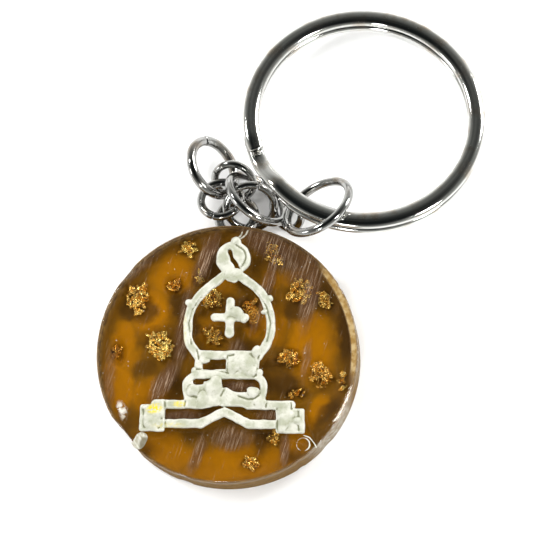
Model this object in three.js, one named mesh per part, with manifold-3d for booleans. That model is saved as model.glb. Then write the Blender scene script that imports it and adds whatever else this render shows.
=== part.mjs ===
// A key fob: a round disc cast in two pours of amber resin with gold leaf between them, a raised
// white bishop motif on its face, and a short chain of jump rings that ends in a split ring.
// Millimetres, +Z up. The origin is the centre of the disc's back face, which lies on the table,
// and +Y runs from the disc towards the chain.

import * as THREE from "three";
import { mergeVertices } from "three/addons/utils/BufferGeometryUtils.js";
import Module from "manifold-3d";

const wasm = await Module();
wasm.setup();

// Driving dimensions

const DISC_RADIUS = 16;
const DISC_THICKNESS = 5.5;
const BACK_POUR = 4.1; // thickness of the first pour; the front pour is the rest
const EDGE_CHAMFER = 0.3; // sanded edge, front and back
const CASTING_GAP = 0.3; // room left in the resin round whatever is cast into it

const RAISED = 0.5; // height of the white motif above the face
const STROKE = 1.1; // width of the motif's lines
const MOTIF_TURN = THREE.MathUtils.degToRad(-1.5); // the motif sits a little clockwise

const LEAF_THICKNESS = 0.4; // a crumpled flake of leaf, creases included
const LEAF_CORNERS = 11;

// The bail is cast into the rim a little skewed. normal is its own axis.
const BAIL = { outer: 5.8, wire: 1.2, centre: [0.9, 17.7, 2.4], normal: [-0.21, 0.21, 0.95] };

const SPLIT_RADIUS = 13.95; // to the middle of the flat wire, so 30 mm overall
const SPLIT_WIRE = { width: 2.1, height: 1.2, corner: 0.35 };
const SPLIT_PITCH = 1.35; // the upper turn's height above the lower one
const SPLIT_STEP = THREE.MathUtils.degToRad(20); // where the wire climbs between the turns
const SPLIT_END_GAP = THREE.MathUtils.degToRad(3); // between a wire end and the climb

const CUT_WIDTH = 0.15; // the open cut in each jump ring

// Facets

const DISC_SIDES = 72;
const RING_STEPS = 28;
const WIRE_SIDES = 8;
const COIL_STEPS = 84;

// Materials

const look = (color, roughness, metalness = 0) => () =>
  new THREE.MeshStandardMaterial({ color, roughness, metalness });
const amberResin = look(0x7a4a12, 0.2);
const clearResin = look(0x9a6420, 0.12);
const goldLeaf = look(0xd9a02c, 0.3, 1);
const whiteRelief = look(0xeae6d2, 0.5);
const plating = look(0x8d8f90, 0.15, 1);

// Solids: closed geometry goes through manifold-3d only to be joined or cut

function solid(geometry) {
  const bare = new THREE.BufferGeometry();
  bare.setAttribute("position", geometry.getAttribute("position"));
  bare.setIndex(geometry.getIndex());
  const merged = mergeVertices(bare, 1e-4);
  return new wasm.Manifold(
    new wasm.Mesh({
      numProp: 3,
      vertProperties: merged.getAttribute("position").array,
      triVerts: new Uint32Array(merged.getIndex().array),
    }),
  );
}

function geometryOf(body) {
  const { vertProperties, triVerts } = body.getMesh();
  const geometry = new THREE.BufferGeometry();
  geometry.setAttribute("position", new THREE.BufferAttribute(vertProperties, 3));
  geometry.setIndex(new THREE.BufferAttribute(triVerts, 1));
  geometry.computeVertexNormals();
  return geometry;
}

const join = (geometries) => geometries.map(solid).reduce((all, one) => all.add(one));
const cut = (body, geometries) => geometries.map(solid).reduce((all, one) => all.subtract(one), body);

// The turn that lays a flat ring's axis, +Z as built, along the given direction.
function facing(normal) {
  const axis = new THREE.Vector3(...normal).normalize();
  return new THREE.Quaternion().setFromUnitVectors(new THREE.Vector3(0, 0, 1), axis);
}

const root = new THREE.Group();

function place(name, geometry, material, parent = root) {
  const mesh = new THREE.Mesh(geometry, material());
  mesh.name = name;
  parent.add(mesh);
  return mesh;
}

// Flat outlines and the plates made from them

function plate(shape, bottom, thickness, curveSegments = 10) {
  const options = { depth: thickness, bevelEnabled: false, curveSegments };
  return new THREE.ExtrudeGeometry(shape, options).translate(0, 0, bottom);
}

const vectors = (points) => points.map(([x, y]) => new THREE.Vector2(x, y));

function barShape(left, right, bottom, top, corner = 0.3) {
  const shape = new THREE.Shape();
  shape.absarc(right - corner, top - corner, corner, 0, Math.PI / 2);
  shape.absarc(left + corner, top - corner, corner, Math.PI / 2, Math.PI);
  shape.absarc(left + corner, bottom + corner, corner, Math.PI, 1.5 * Math.PI);
  shape.absarc(right - corner, bottom + corner, corner, 1.5 * Math.PI, 2 * Math.PI);
  return shape;
}

// A line of constant width along points, mitred where it bends, with square ends.
function strokeShape(points, width) {
  const path = vectors(points);
  const side = (sign) =>
    path.map((point, i) => {
      const before = path[Math.max(i - 1, 0)];
      const after = path[Math.min(i + 1, path.length - 1)];
      const into = point.clone().sub(before).normalize();
      const out = after.clone().sub(point).normalize();
      const along = into.clone().add(out).normalize();
      const half = Math.max(along.dot(into), along.dot(out));
      const across = new THREE.Vector2(-along.y, along.x);
      return across.multiplyScalar((sign * width) / 2 / half).add(point);
    });
  return new THREE.Shape([...side(-1), ...side(1).reverse()]);
}

function curvedStroke(points, width, steps) {
  const curve = new THREE.SplineCurve(vectors(points));
  return strokeShape(curve.getSpacedPoints(steps).map(({ x, y }) => [x, y]), width);
}

// Gold leaf: each flake lies in its own pocket in the top of the back pour.
// Columns: x, y, width, length, turn in degrees, height of its underside above the back face.

const LEAVES = [
  [-4.7, 13.1, 1.8, 2.0, 20, 3.4],
  [-6.6, 8.8, 1.5, 1.7, 60, 2.0],
  [-3.5, 9.4, 1.1, 1.0, 10, 3.0],
  [-11.1, 7.0, 2.9, 3.7, -15, 3.2],
  [-8.2, 1.1, 3.2, 4.2, 35, 3.4],
  [-13.6, 0.6, 1.2, 2.0, 0, 2.2],
  [5.6, 12.2, 1.9, 3.4, 25, 3.4],
  [9.0, 7.6, 3.0, 3.4, -20, 3.2],
  [11.9, 6.4, 1.6, 2.4, 30, 2.8],
  [-1.8, 6.7, 2.7, 2.4, 15, 3.0],
  [-1.8, 2.3, 2.9, 1.8, -10, 2.6],
  [2.9, 5.3, 1.9, 2.9, 10, 2.4],
  [7.6, -0.7, 3.0, 1.7, -12, 2.6],
  [11.6, -3.0, 2.6, 3.4, 15, 3.0],
  [14.0, -3.6, 0.8, 3.4, -4, 3.4],
  [8.4, -5.1, 2.0, 1.1, 8, 2.4],
  [5.7, -10.6, 1.6, 1.6, 40, 3.2],
  [2.9, -13.6, 2.2, 1.4, 5, 3.0],
];

// A ragged closed outline: an ellipse whose radius wavers three and five times a turn.
function leafShape([x, y, width, length, turn], margin) {
  const angle = THREE.MathUtils.degToRad(turn);
  const corners = Array.from({ length: LEAF_CORNERS }, (_, i) => {
    const t = (2 * Math.PI * i) / LEAF_CORNERS;
    const waver = 0.85 + 0.09 * Math.sin(3 * t + x) + 0.06 * Math.cos(5 * t + y);
    const along = new THREE.Vector2(
      (width / 2) * waver * Math.cos(t) + margin * Math.cos(t),
      (length / 2) * waver * Math.sin(t) + margin * Math.sin(t),
    );
    return along.rotateAround(new THREE.Vector2(), angle).add(new THREE.Vector2(x, y));
  });
  return new THREE.Shape(corners);
}

function goldLeaves() {
  LEAVES.forEach((leaf, i) => {
    const name = `gold_leaf_${String(i + 1).padStart(2, "0")}`;
    const underside = leaf.at(-1);
    place(name, plate(leafShape(leaf, 0), underside, LEAF_THICKNESS), goldLeaf);
  });
}

function leafPockets() {
  return LEAVES.map((leaf) => {
    const floor = leaf.at(-1) - CASTING_GAP;
    return plate(leafShape(leaf, CASTING_GAP), floor, DISC_THICKNESS - floor);
  });
}

// The disc, in its two pours

function pour(bottom, top, bottomChamfer, topChamfer) {
  const profile = [
    [0, bottom],
    [DISC_RADIUS - bottomChamfer, bottom],
    [DISC_RADIUS, bottom + bottomChamfer],
    [DISC_RADIUS, top - topChamfer],
    [DISC_RADIUS - topChamfer, top],
    [0, top],
  ].filter(([r, z], i, all) => !i || r !== all[i - 1][0] || z !== all[i - 1][1]);
  return new THREE.LatheGeometry(vectors(profile), DISC_SIDES).rotateX(Math.PI / 2);
}

function bailRing(wire) {
  const radius = (BAIL.outer - BAIL.wire) / 2;
  const torus = new THREE.TorusGeometry(radius, wire / 2, WIRE_SIDES, RING_STEPS);
  return torus.applyQuaternion(facing(BAIL.normal)).translate(...BAIL.centre);
}

function disc() {
  const channel = bailRing(BAIL.wire + 2 * CASTING_GAP);
  const back = cut(solid(pour(0, BACK_POUR, EDGE_CHAMFER, 0)), [...leafPockets(), channel]);
  place("resin_back", geometryOf(back), amberResin);
  place("resin_front", pour(BACK_POUR, DISC_THICKNESS, 0, EDGE_CHAMFER), clearResin);
  place("bail_loop", bailRing(BAIL.wire), plating);
}

// The motif: a chess bishop in raised white lines, seen from the side

const HEAD = { x: 0.5, y: 11.7, radius: 2.15 };
const KNOB = { x: 0.8, y: 13.8, radius: 0.6 };
const SLIT = { x: 0.55, y: 11.4, width: 0.5, length: 2.6, turn: THREE.MathUtils.degToRad(25) };
const MITRE_LEFT = [[-0.3, 9.8], [-2.8, 7.7], [-4.35, 5.7], [-4.8, 3.5], [-4.6, 1.3], [-3.5, -0.4]];
const MITRE_RIGHT = [[1.1, 9.8], [3.6, 7.8], [4.8, 5.9], [5.3, 3.5], [5.0, 1.3], [3.9, -0.4]];
const CROSS = { x: 0.3, y: 4.3, width: 4.8, height: 5.0 };

const raise = (shape, curveSegments) => plate(shape, DISC_THICKNESS, RAISED, curveSegments);

function circleShape({ x, y, radius }) {
  return new THREE.Shape().absarc(x, y, radius, 0, 2 * Math.PI);
}

function blockShape() {
  const shape = new THREE.Shape(
    vectors([[-3.7, -2.4], [-4.7, -3.4], [-5.1, -4.8], [-4.9, -6.3],
      [4.8, -6.3], [4.9, -4.9], [4.6, -3.6], [4, -2.4]]),
  );
  shape.holes.push(barShape(-0.4, 3.6, -4.8, -3.4), new THREE.Path(
    vectors([[-3.8, -3.5], [-2.7, -3.5], [-3.9, -4.6]]),
  ));
  return shape;
}

function bishopOutline() {
  const slit = barShape(-SLIT.width / 2, SLIT.width / 2, -SLIT.length / 2, SLIT.length / 2, 0.2);
  const slitCutter = plate(slit, DISC_THICKNESS - 1, RAISED + 2, 3)
    .rotateZ(SLIT.turn)
    .translate(SLIT.x, SLIT.y, 0);
  const head = cut(solid(raise(circleShape(HEAD), 12)), [slitCutter]);
  const lines = join([
    raise(circleShape(KNOB), 6),
    raise(curvedStroke(MITRE_LEFT, STROKE, 12)),
    raise(curvedStroke(MITRE_RIGHT, STROKE, 12)),
    raise(barShape(-3.8, 4.3, -0.9, 0.2), 3), // collar
    raise(barShape(-3.7, -2.9, -2.6, -0.5), 3), // left side of the neck
    raise(barShape(0, 4, -2.6, -0.5), 3), // right side of the neck, filled in
    raise(barShape(-3.7, 4, -3.3, -2.1), 3), // second collar
    raise(blockShape(), 3),
    raise(strokeShape([[-8.9, -6.4], [-2.8, -6.4], [0, -4.9], [2.8, -6.4], [8.5, -6.4]], STROKE)),
    raise(strokeShape([[-10.2, -8.8], [-3, -8.8], [0, -7.3], [3, -8.8], [9.6, -8.8]], STROKE)),
    raise(barShape(-10.3, -7.2, -9.8, -6.5), 3), // left foot
    raise(barShape(6.2, 9.7, -9.9, -6.8), 3), // right foot
    raise(barShape(-3.9, -2.1, -9.2, -6), 3), // webs between the two base lines
    raise(barShape(1, 2.4, -8.6, -6), 3),
  ]);
  return geometryOf(head.add(lines));
}

function bishopCross() {
  const { x, y, width, height } = CROSS;
  const upright = barShape(x - STROKE / 2, x + STROKE / 2, y - height / 2, y + height / 2, 0.45);
  const arm = barShape(x - width / 2, x + width / 2, y - STROKE / 2, y + STROKE / 2, 0.45);
  return geometryOf(join([raise(upright, 4), raise(arm, 4)]));
}

function motif() {
  const group = new THREE.Group();
  group.rotation.z = MOTIF_TURN;
  root.add(group);
  place("bishop_outline", bishopOutline(), whiteRelief, group);
  place("bishop_cross", bishopCross(), whiteRelief, group);
  const ring = circleShape({ x: 9.6, y: -11.1, radius: 0.95 });
  ring.holes.push(circleShape({ x: 9.6, y: -11.1, radius: 0.45 }));
  place("corner_ring_right", raise(ring, 8), whiteRelief, group);
  const dot = circleShape({ x: -9.9, y: -10.9, radius: 0.95 });
  place("corner_dot_left", raise(dot, 8), whiteRelief, group);
}

// The chain. Each ring links the one before it and the one after it: the bail, then these in
// order, then the split ring. normal is the ring's own axis, and cut turns its cut round it.

const CHAIN = [
  { outer: 6.9, wire: 0.95, centre: [2.65, 18.8, 3.4], normal: [0.11, -0.65, 0.75], turn: 70 },
  { outer: 6.0, wire: 1.0, centre: [-0.95, 19.7, 3.95], normal: [-0.07, 0.3, 0.95], turn: 250 },
  { outer: 8.4, wire: 1.25, centre: [-2, 23.9, 3.5], normal: [0.74, 0.18, 0.65], turn: 110 },
  { outer: 5.9, wire: 0.95, centre: [0.55, 22.4, 2.5], normal: [-0.17, -0.72, 0.68], turn: 145 },
  { outer: 9.2, wire: 1.1, centre: [3.55, 19.7, 3.95], normal: [0.6, 0.54, 0.59], turn: 70 },
  { outer: 5.8, wire: 1.0, centre: [7.2, 18.45, 2.9], normal: [-0.64, -0.42, 0.64], turn: 290 },
  { outer: 9.8, wire: 1.1, centre: [11.25, 17.8, 6.4], normal: [-0.45, 0.54, 0.71], turn: 215 },
];
const SPLIT_RING = { centre: [16.85, 29.3, 4.55], normal: [0.08, 0.16, 0.98], turn: 225 };

class RingPath extends THREE.Curve {
  constructor(radius) {
    super();
    this.radius = radius;
    this.gap = CUT_WIDTH / radius;
  }
  getPoint(t, target = new THREE.Vector3()) {
    const angle = this.gap / 2 + t * (2 * Math.PI - this.gap);
    return target.set(this.radius * Math.cos(angle), this.radius * Math.sin(angle), 0);
  }
}

function jumpRing({ outer, wire }) {
  const section = new THREE.Shape().absarc(0, 0, wire / 2, 0, 2 * Math.PI);
  return new THREE.ExtrudeGeometry(section, {
    steps: RING_STEPS,
    curveSegments: WIRE_SIDES / 2,
    extrudePath: new RingPath((outer - wire) / 2),
  });
}

// Two flat turns of one wire. The lower turn starts just past the climb, the wire climbs at the
// end of that turn, and the upper turn ends just before it meets the climb again.
class SplitRingPath extends THREE.Curve {
  getPoint(t, target = new THREE.Vector3()) {
    const turn = 2 * Math.PI;
    const climbEnd = turn - SPLIT_END_GAP;
    const climbStart = climbEnd - SPLIT_STEP;
    const angle = t * (climbStart + turn - SPLIT_END_GAP);
    const share = THREE.MathUtils.smoothstep(angle, climbStart, climbEnd);
    return target.set(
      SPLIT_RADIUS * Math.cos(angle),
      SPLIT_RADIUS * Math.sin(angle),
      (share - 0.5) * SPLIT_PITCH,
    );
  }
}

function splitRing() {
  const { width, height, corner } = SPLIT_WIRE;
  return new THREE.ExtrudeGeometry(
    barShape(-height / 2, height / 2, -width / 2, width / 2, corner),
    { steps: COIL_STEPS, curveSegments: 2, extrudePath: new SplitRingPath() },
  );
}

function pose(mesh, { centre, normal, turn }) {
  mesh.position.set(...centre);
  mesh.quaternion.copy(facing(normal));
  mesh.rotateZ(THREE.MathUtils.degToRad(turn));
}

function chain() {
  CHAIN.forEach((ring, i) => pose(place(`link_${i + 1}`, jumpRing(ring), plating), ring));
  pose(place("split_ring", splitRing(), plating), SPLIT_RING);
}

disc();
goldLeaves();
motif();
chain();

export default root;
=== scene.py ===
# %% [markdown]
# A key fob cast in resin: a round amber disc with gold leaf in it and a white chess bishop on
# its face, seven jump rings and a split ring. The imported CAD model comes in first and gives
# every size and joint. This script gives each part its finished surface around that frame.

# %% The frame
import math

import bpy
import numpy as np
from mathutils import Matrix, Vector


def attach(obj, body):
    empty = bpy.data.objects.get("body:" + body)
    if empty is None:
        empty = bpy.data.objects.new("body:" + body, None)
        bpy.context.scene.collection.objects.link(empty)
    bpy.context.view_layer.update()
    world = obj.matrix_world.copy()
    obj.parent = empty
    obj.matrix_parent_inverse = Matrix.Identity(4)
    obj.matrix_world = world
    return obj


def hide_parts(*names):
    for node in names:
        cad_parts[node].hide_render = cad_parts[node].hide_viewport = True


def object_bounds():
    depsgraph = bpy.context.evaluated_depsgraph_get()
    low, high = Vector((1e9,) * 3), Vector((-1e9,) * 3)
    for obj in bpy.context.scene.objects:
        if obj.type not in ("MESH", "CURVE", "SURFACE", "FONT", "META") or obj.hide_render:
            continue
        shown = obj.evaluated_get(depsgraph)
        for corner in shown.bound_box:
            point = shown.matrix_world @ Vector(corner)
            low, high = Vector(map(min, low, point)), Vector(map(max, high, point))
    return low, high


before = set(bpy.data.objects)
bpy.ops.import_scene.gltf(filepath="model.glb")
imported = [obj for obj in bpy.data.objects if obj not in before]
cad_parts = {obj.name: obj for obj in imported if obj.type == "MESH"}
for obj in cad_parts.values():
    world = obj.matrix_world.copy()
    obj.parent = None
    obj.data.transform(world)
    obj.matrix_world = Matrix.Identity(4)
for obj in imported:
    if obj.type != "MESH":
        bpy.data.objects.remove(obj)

MM = 0.001
cad_box = [list(corner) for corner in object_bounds()]
print("CAD box in mm", [[round(c / MM, 1) for c in corner] for corner in cad_box])

# %% [markdown]
# The camera looks down steeply from the front right, with the chain at the top of the view.
# A long lens at 300 mm keeps the disc almost a true circle. It could be turned with a Track To
# constraint, but three axes worked out here keep it free of constraints for the other views.

# %% The camera
AIM = Vector((4.85, 10.65, 5.5)) * MM
DISTANCE = 300 * MM
VIEW_WIDTH = 65.1 * MM
AZIMUTH, ELEVATION = math.radians(20), math.radians(75.5)
SENSOR = 36

back = Vector((
    math.sin(AZIMUTH) * math.cos(ELEVATION),
    -math.cos(AZIMUTH) * math.cos(ELEVATION),
    math.sin(ELEVATION),
))
up = (Vector((0, 1, 0)) - back.y * back).normalized()
camera = bpy.data.objects.new("camera", bpy.data.cameras.new("camera"))
camera.data.sensor_width = SENSOR
camera.data.lens = SENSOR * DISTANCE / VIEW_WIDTH
camera.data.clip_start, camera.data.clip_end = 10 * MM, 10
camera.matrix_world = Matrix.Translation(AIM + back * DISTANCE) @ Matrix(
    (up.cross(back), up, back)
).transposed().to_4x4()
bpy.context.scene.collection.objects.link(camera)
bpy.context.scene.camera = camera
print("lens", round(camera.data.lens), "mm")

# %% [markdown]
# Shader nodes are written here as Python sums. Wire wraps the output of a node, so that
# 1 - mask adds a Subtract node by itself. Graph.add is the one way in for every other node: its
# type, its settings, then the values or wires for its sockets.

# %% Shader sums


class Wire:
    """A node's output. The operators add Math nodes, also with the number on the left."""

    def __init__(self, graph, socket):
        self.graph, self.socket = graph, socket

    def math(self, operation, *values):
        return self.graph.add("ShaderNodeMath", {"operation": operation}, values)

    def __add__(self, other):
        return self.math("ADD", self, other)

    def __sub__(self, other):
        return self.math("SUBTRACT", self, other)

    def __rsub__(self, other):
        return self.math("SUBTRACT", other, self)

    def __mul__(self, other):
        return self.math("MULTIPLY", self, other)

    def __pow__(self, other):
        return self.math("POWER", self, other)

    __radd__, __rmul__ = __add__, __mul__

    def either(self, other):
        """The larger of two masks."""
        return self.math("MAXIMUM", self, other)


class Graph:
    """The node tree of one material or of the world, emptied and built up again."""

    def __init__(self, tree):
        self.tree = tree
        tree.nodes.clear()

    def add(self, kind, settings=None, inputs=(), output=0):
        node = self.tree.nodes.new(kind)
        for name, value in (settings or {}).items():
            setattr(node, name, value)
        pairs = inputs.items() if isinstance(inputs, dict) else enumerate(inputs)
        for name, value in pairs:
            if isinstance(value, Wire):
                self.tree.links.new(value.socket, node.inputs[name])
            else:
                node.inputs[name].default_value = value
        return Wire(self, node.outputs[output]) if node.outputs else None

    def place(self):
        """Where a point is on the object, in millimetres."""
        at = self.add("ShaderNodeTexCoord", output="Object")
        return self.scaled(at, 1 / MM)

    def scaled(self, vector, factor):
        return self.add("ShaderNodeVectorMath", {"operation": "SCALE"}, {0: vector, 3: factor})

    def length(self, vector):
        return self.add("ShaderNodeVectorMath", {"operation": "LENGTH"}, [vector], "Value")

    def shifted(self, vector, by):
        return self.add("ShaderNodeVectorMath", {"operation": "ADD"}, [vector, by])

    def turned(self, vector, centre=(0, 0), sizes=(1, 1, 1), turn=0):
        """The point as seen from a pattern that sits at centre, turned and stretched."""
        return self.add("ShaderNodeMapping", {"vector_type": "TEXTURE"}, {
            "Vector": vector, "Location": (*centre, 0),
            "Rotation": (0, 0, math.radians(turn)), "Scale": sizes})

    def noise(self, vector, scale, detail=2.0, output="Fac"):
        return self.add("ShaderNodeTexNoise", None,
                        {"Vector": vector, "Scale": scale, "Detail": detail}, output)

    def ease(self, value, low, high):
        """0 where value is at low, 1 where it is at high, and smooth between; low may be larger."""
        flip = low > high
        made = self.add("ShaderNodeMapRange", {"interpolation_type": "SMOOTHSTEP"},
                        [value, min(low, high), max(low, high), 0.0, 1.0])
        return 1 - made if flip else made

    def mix(self, share, first, second):
        """A colour between two colours."""
        return self.add("ShaderNodeMix", {"data_type": "RGBA"}, {0: share, 6: first, 7: second}, 2)

    def bump(self, height, strength, depth):
        """depth is in metres."""
        return self.add("ShaderNodeBump", None,
                        {"Height": height, "Strength": strength, "Distance": depth})

    def blend(self, share, first, second):
        return self.add("ShaderNodeMixShader", None, [share, first, second])

    def surface(self, shader):
        self.add("ShaderNodeOutputMaterial", None, [shader])


FLAT = 1e4  # a stretch along z so large that a flat patch ignores height


def patches(graph, at, spots, core=0.35):
    """The largest of several soft ovals: each is x, y, half width, half length, turn, strength."""
    total = None
    for x, y, wide, long, turn, strength in spots:
        inside = graph.turned(at, (x, y), (wide, long, FLAT), turn)
        mask = graph.ease(graph.length(inside), 1.0, core) * strength
        total = mask if total is None else total.either(mask)
    return total


def new_material(name):
    material = bpy.data.materials.new(name)
    material.use_nodes = True
    return material, Graph(material.node_tree)


print("shader helpers ready")

# %% [markdown]
# The floor is a matt pale board. Polished plating shows its surroundings, so these matter more
# than the lamps: a dark ceiling gives each wire its black middle line and a bright horizon gives
# its light edges. Two soft lamps overhead light floor and resin, and are left out of reflections.

# %% Stage and light
FLOOR_Z = cad_box[0][2] - 0.02 * MM
FLOOR_HALF = 600 * MM

floor_mesh = bpy.data.meshes.new("floor")
floor_mesh.from_pydata(
    [(x * FLOOR_HALF, y * FLOOR_HALF, FLOOR_Z) for x, y in ((-1, -1), (1, -1), (1, 1), (-1, 1))],
    [], [(0, 1, 2, 3)])
floor = bpy.data.objects.new("floor", floor_mesh)
bpy.context.scene.collection.objects.link(floor)
floor_material, g = new_material("pale_board")
grain = g.noise(g.place(), 0.8, 3.0)
g.surface(g.add("ShaderNodeBsdfPrincipled", None, {
    "Base Color": g.mix(grain, (0.93, 0.93, 0.925, 1), (0.96, 0.96, 0.955, 1)),
    "Roughness": 0.85, "Specular IOR Level": 0.15}))
floor.data.materials.append(floor_material)

world = bpy.data.worlds.new("studio")
world.use_nodes = True
bpy.context.scene.world = world
g = Graph(world.node_tree)
direction = g.add("ShaderNodeTexCoord", output="Generated")
height = g.add("ShaderNodeSeparateXYZ", None, [direction], "Z")
drift = g.noise(direction, 2.2, 1.0)
haze = g.ease(height + drift * 0.4, 1.18, 0.74)
glow = g.ease(height + drift * 0.4, 0.80, 0.30)
sky = g.mix(haze, (0.010, 0.012, 0.012, 1), (0.27, 0.275, 0.26, 1))
g.add("ShaderNodeOutputWorld", None, [g.add("ShaderNodeBackground", None, [
    g.mix(glow, sky, (0.85, 0.85, 0.82, 1))])])


def lamp(name, place, size, watts, mirrored):
    """A square soft lamp that faces the disc. mirrored says whether polished metal shows it."""
    data = bpy.data.lights.new(name, "AREA")
    data.size, data.energy = size * MM, watts
    made = bpy.data.objects.new(name, data)
    made.location = Vector(place) * MM
    made.rotation_euler = (made.location - AIM).to_track_quat("Z", "Y").to_euler()
    made.visible_glossy = mirrored
    bpy.context.scene.collection.objects.link(made)


lamp("overhead", (-230, 170, 520), 330, 2.5, False)
lamp("fill", (260, -120, 560), 420, 0.7, False)
lamp("window", (400, 330, 230), 160, 2.3, True)
lamp("card", (-420, -60, 200), 120, 0.3, True)
lamp("spark_right", (330, -140, 340), 80, 0.9, True)
lamp("spark_left", (-330, 230, 330), 80, 0.9, True)
lamp("spark_near", (-60, -420, 300), 80, 0.7, True)
bpy.context.scene.view_settings.view_transform = "Standard"
print("floor at", round(FLOOR_Z / MM, 2), "mm, 7 lamps")

# %% [markdown]
# Every new piece below is a grid of points worked out with numpy. This is the one place that
# puts such a grid into Blender: it turns the faces round if they enclose a negative volume, so
# that they point outwards, and hangs the piece on its CAD body.

# %% From points to a piece


def enclosed(points, faces):
    """The volume inside the faces: a sixth of the sum of each triangle's triple product."""
    total = 0.0
    for set_of_faces in faces:
        a = points[set_of_faces[:, 0]]
        for k in range(1, set_of_faces.shape[1] - 1):
            b, c = points[set_of_faces[:, k]], points[set_of_faces[:, k + 1]]
            total += np.einsum("ij,ij->", a, np.cross(b, c)) / 6
    return total


def piece(name, points, faces, body, slot, material, stands_for, sharp=50):
    """points are in mm, and faces a list of arrays with the same number of corners each."""
    volume = enclosed(points, faces)
    if volume < 0:
        faces = [f[:, ::-1] for f in faces]
    mesh = bpy.data.meshes.new(name)
    mesh.from_pydata((points * MM).tolist(), [], [f for part in faces for f in part.tolist()])
    mesh.polygons.foreach_set("use_smooth", np.ones(len(mesh.polygons), bool))
    mesh.set_sharp_from_angle(angle=math.radians(sharp))
    mesh.materials.append(material)
    made = bpy.data.objects.new(name, mesh)
    bpy.context.scene.collection.objects.link(made)
    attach(made, body)
    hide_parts(*stands_for)
    print(f"{name}: {len(mesh.polygons)} faces, {abs(volume):.2f} cubic mm")
    return made


def grid_faces(rows, columns, wrap_rows=False):
    """The quads of a grid whose columns always close on themselves."""
    r = np.arange(rows if wrap_rows else rows - 1)[:, None]
    c = np.arange(columns)[None, :]
    below, beside = (r + 1) % rows, (c + 1) % columns
    corners = (r * columns + c, r * columns + beside,
               below * columns + beside, below * columns + c)
    return np.stack([np.broadcast_to(k, (len(r), columns)) for k in corners], -1).reshape(-1, 4)


# %% [markdown]
# The bail, the jump rings and the split ring are bent wire with bright nickel plating. The
# finish is a metal with a faint warm tarnish in soft clouds, fine handling scratches and a
# roughness that drifts a little, so that the reflections are neither perfect nor dull. The
# jump rings and the bail get darker colours than the split ring, so one recipe makes both.

# %% Nickel plating


def plating(name, clean, tarnished):
    """A polished metal between two colours, with pits, fine scratches and clouds of tarnish."""
    material, g = new_material(name)
    at = g.place()
    tarnish = g.ease(g.noise(at, 0.45, 4.0), 0.48, 0.75)
    pits = g.noise(at, 7.0, 2.0)
    hairs = g.noise(g.turned(at, sizes=(0.06, 1.4, 0.06), turn=35), 1.0, 1.0)
    g.surface(g.add("ShaderNodeBsdfPrincipled", None, {
        "Base Color": g.mix(tarnish, clean, tarnished), "Metallic": 1.0,
        "Roughness": 0.10 + tarnish * 0.10 + g.ease(pits, 0.6, 0.8) * 0.15,
        "Normal": g.bump(pits * 0.5 + hairs * 0.5, 0.25, 0.02 * MM)}))
    return material


nickel = plating("nickel_plate", (0.62, 0.62, 0.60, 1), (0.46, 0.41, 0.35, 1))
dark_nickel = plating("dark_nickel_plate", (0.37, 0.37, 0.36, 1), (0.25, 0.22, 0.185, 1))
print("nickel plating ready")

# %% [markdown]
# A jump ring is a length of round wire wound once round a rod and cut, so its two flat ends
# face each other across a hairline gap, one a little above the other. A Blender torus has no
# cut, so a circle is carried along the ring here, drawn in slightly at both ends where the
# cutter has broken the edge. The bail is closed, because it is cast into the disc.

# %% Jump rings and bail
# Each ring: outer diameter, wire, centre, the way its own axis points, turn of its cut. The
# jump rings' centres, axes and cuts, and the split ring's centre and axis further down, are the
# rounded result of a separate fitting program. They were not chosen by hand.
BAIL = (5.8, 1.2, (0.9, 17.7, 2.4), (-0.21, 0.21, 0.95), 0)
CHAIN = (
    (6.9, 0.95, (2.65, 18.8, 3.4), (0.11, -0.65, 0.75), 70),
    (6.0, 1.0, (-0.95, 19.7, 3.95), (-0.07, 0.3, 0.95), 250),
    (8.4, 1.25, (-2, 23.9, 3.5), (0.74, 0.18, 0.65), 110),
    (5.9, 0.95, (0.55, 22.4, 2.5), (-0.17, -0.72, 0.68), 145),
    (9.2, 1.1, (3.55, 19.7, 3.95), (0.6, 0.54, 0.59), 70),
    (5.8, 1.0, (7.2, 18.45, 2.9), (-0.64, -0.42, 0.64), 290),
    (9.8, 1.1, (11.25, 17.8, 6.4), (-0.45, 0.54, 0.71), 215),
)
CUT = 0.15
WIND = 0.07  # how far one end of a jump ring lies above the other
END_BREAK = 0.07
TURN = 2 * math.pi


def own_axes(normal, turn):
    """A ring's x, y and z: the shortest turn from straight up to normal, then turn about it."""
    tilt = Vector((0, 0, 1)).rotation_difference(Vector(normal).normalized()).to_matrix()
    return np.array(tilt @ Matrix.Rotation(math.radians(turn), 3, "Z")).T


def carried(path, across, upward, section, closed=False):
    """section, rows of outlines in two numbers, carried along path: a row for each point."""
    rows, sides = section.shape[:2]
    points = (path[:, None] + section[..., :1] * across[:, None]
              + section[..., 1:] * upward[:, None]).reshape(-1, 3)
    faces = [grid_faces(rows, sides, closed)]
    if not closed:
        ends = np.array([np.arange(sides)[::-1], np.arange(sides) + (rows - 1) * sides])
        faces.append(ends)
    return points, faces


def with_close_ends(low, high, steps, step):
    """Even values from low to high, with one more just inside each end."""
    return np.sort(np.append(np.linspace(low, high, steps), (low + step, high - step)))


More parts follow.
